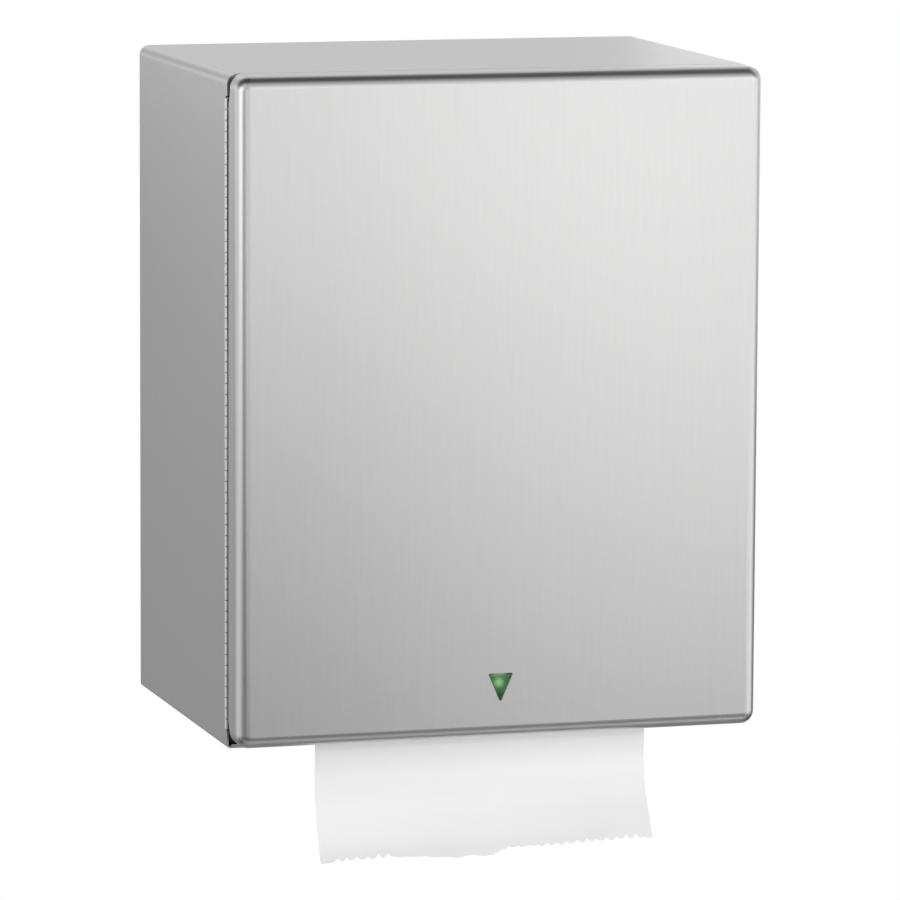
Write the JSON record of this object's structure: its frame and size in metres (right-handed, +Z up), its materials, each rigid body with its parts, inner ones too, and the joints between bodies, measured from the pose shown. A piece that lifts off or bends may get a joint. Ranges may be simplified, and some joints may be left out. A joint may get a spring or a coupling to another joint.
{
  "type": "roll paper towel dispenser",
  "caption": "Surface-mounted steel cabinet with a side-hinged door that feeds roll paper towel through a motor-driven roller nip to a serrated tear bar.",
  "frame": {"origin": "centre of the four wall screw holes, on the cabinet's back face", "axes": "+Z up, +Y into the wall, so the door faces -Y; +X to the right seen from the front"},
  "size_m": [0.3214, 0.236, 0.4658],
  "materials": {
    "satin_stainless": "satin, fine vertical grain",
    "plated_steel": "zinc plated",
    "black_plastic": "moulded, fine texture",
    "grey_plastic": "moulded",
    "white_acetal": "machined acetal",
    "green_lens": "translucent green, lightly domed",
    "clear_green": "clear green lamp",
    "towel_paper": "soft embossed towel",
    "core_board": "wound board",
    "grip_rubber": "matt",
    "battery_jacket": "plain dark jacket",
    "board_green": "solder mask",
    "button_green": "moulded",
    "smoked_window": "dark infrared window"
  },
  "bodies": {
    "cabinet": {"arm_bracket_right": "plated_steel", "arm_pivot_pin": "plated_steel", "back_panel": "satin_stainless", "batteries": "battery_jacket", "battery_box": "black_plastic", "battery_contacts": "plated_steel", "bottom_panel": "satin_stainless", "cabinet_shell": "satin_stainless", "circuit_board": "board_green", "control_housing": "black_plastic", "feed_frame": "black_plastic", "front_cover": "black_plastic", "gear_motor": "plated_steel", "hinge_leaf_cabinet": "satin_stainless", "hinge_pin": "plated_steel", "idler_axle": "plated_steel", "lock_barrel": "plated_steel", "paper_chute": "black_plastic", "paper_web": "towel_paper", "pinch_springs": "plated_steel", "roll_arm_left": "plated_steel", "sensor_window": "smoked_window", "status_light": "clear_green", "tear_bar": "plated_steel"},
    "door": {"door_panel": "satin_stainless", "hinge_leaf_door": "satin_stainless", "indicator_lens": "green_lens", "lens_retainer": "black_plastic", "lock_keeper": "plated_steel"},
    "lock": {"lock_plug": "plated_steel", "lock_cam": "plated_steel"},
    "roll": {"towel_roll": "towel_paper", "roll_core": "core_board", "core_hub_left": "grey_plastic"},
    "right_arm": {"roll_arm_right": "plated_steel"},
    "right_hub": {"core_hub_right": "grey_plastic"},
    "drive_roller": {"drive_shaft": "plated_steel", "drive_grips": "grip_rubber", "drive_gear": "white_acetal"},
    "idler": {"idler_gear": "white_acetal"},
    "pinion": {"motor_pinion": "white_acetal"},
    "pinch_frame": {"pinch_bracket": "black_plastic"},
    "pinch_roller": {"pinch_rollers": "grey_plastic"},
    "button": {"feed_button": "button_green"},
    "switch": {"length_switch": "grey_plastic"},
    "battery_door": {"battery_cover": "black_plastic"}
  },
  "joints": [
    {"name": "door_hinge", "type": "hinge", "parent": "cabinet", "child": "door", "pos_m": [-0.15775, -0.21, 0], "axis": [0, 0, -1], "range_deg": [0, 140]},
    {"name": "lock_turn", "type": "hinge", "parent": "cabinet", "child": "lock", "pos_m": [0.15, -0.192, 0], "axis": [-1, 0, 0], "range_deg": [0, 90]},
    {"name": "roll_spin", "type": "hinge", "parent": "cabinet", "child": "roll", "pos_m": [0, -0.112, 0.086], "axis": [1, 0, 0], "continuous": true},
    {"name": "arm_swing", "type": "hinge", "parent": "cabinet", "child": "right_arm", "pos_m": [0.1107, -0.014, 0.086], "axis": [0, 0, 1], "range_deg": [0, 15], "stiffness_Nm_per_rad": 1.5, "springref_deg": -11.46},
    {"name": "right_hub_spin", "type": "hinge", "parent": "right_arm", "child": "right_hub", "pos_m": [0.1056, -0.112, 0.086], "axis": [1, 0, 0], "continuous": true},
    {"name": "drive_spin", "type": "hinge", "parent": "cabinet", "child": "drive_roller", "pos_m": [0, -0.1755, -0.128], "axis": [1, 0, 0], "continuous": true},
    {"name": "idler_spin", "type": "hinge", "parent": "cabinet", "child": "idler", "pos_m": [0.1176, -0.14731, -0.13826], "axis": [1, 0, 0], "continuous": true},
    {"name": "pinion_spin", "type": "hinge", "parent": "cabinet", "child": "pinion", "pos_m": [0.1176, -0.1299, -0.15045], "axis": [1, 0, 0], "continuous": true},
    {"name": "pinch_swing", "type": "hinge", "parent": "cabinet", "child": "pinch_frame", "pos_m": [0, -0.206, -0.097], "axis": [-1, 0, 0], "range_deg": [0, 8], "stiffness_Nm_per_rad": 2, "springref_deg": -8.59, "deforming": ["pinch_springs"]},
    {"name": "pinch_spin", "type": "hinge", "parent": "pinch_frame", "child": "pinch_roller", "pos_m": [0, -0.1995, -0.128], "axis": [1, 0, 0], "continuous": true},
    {"name": "button_press", "type": "slide", "parent": "cabinet", "child": "button", "axis": [0, 1, 0], "range_m": [0, 0.002], "stiffness_N_per_m": 400},
    {"name": "length_select", "type": "slide", "parent": "cabinet", "child": "switch", "axis": [1, 0, 0], "range_m": [-0.005, 0.005]},
    {"name": "battery_cover_slide", "type": "slide", "parent": "cabinet", "child": "battery_door", "axis": [0, 0, 1], "range_m": [0, 0.1]}
  ],
  "couplings": [
    {"joint": "idler_spin", "follows": "drive_spin", "ratio": -1.4},
    {"joint": "pinion_spin", "follows": "drive_spin", "ratio": 2},
    {"joint": "pinch_spin", "follows": "drive_spin", "ratio": -1.5556},
    {"joint": "roll_spin", "follows": "drive_spin", "ratio": 0.15909},
    {"joint": "right_hub_spin", "follows": "drive_spin", "ratio": 0.15909}
  ]
}
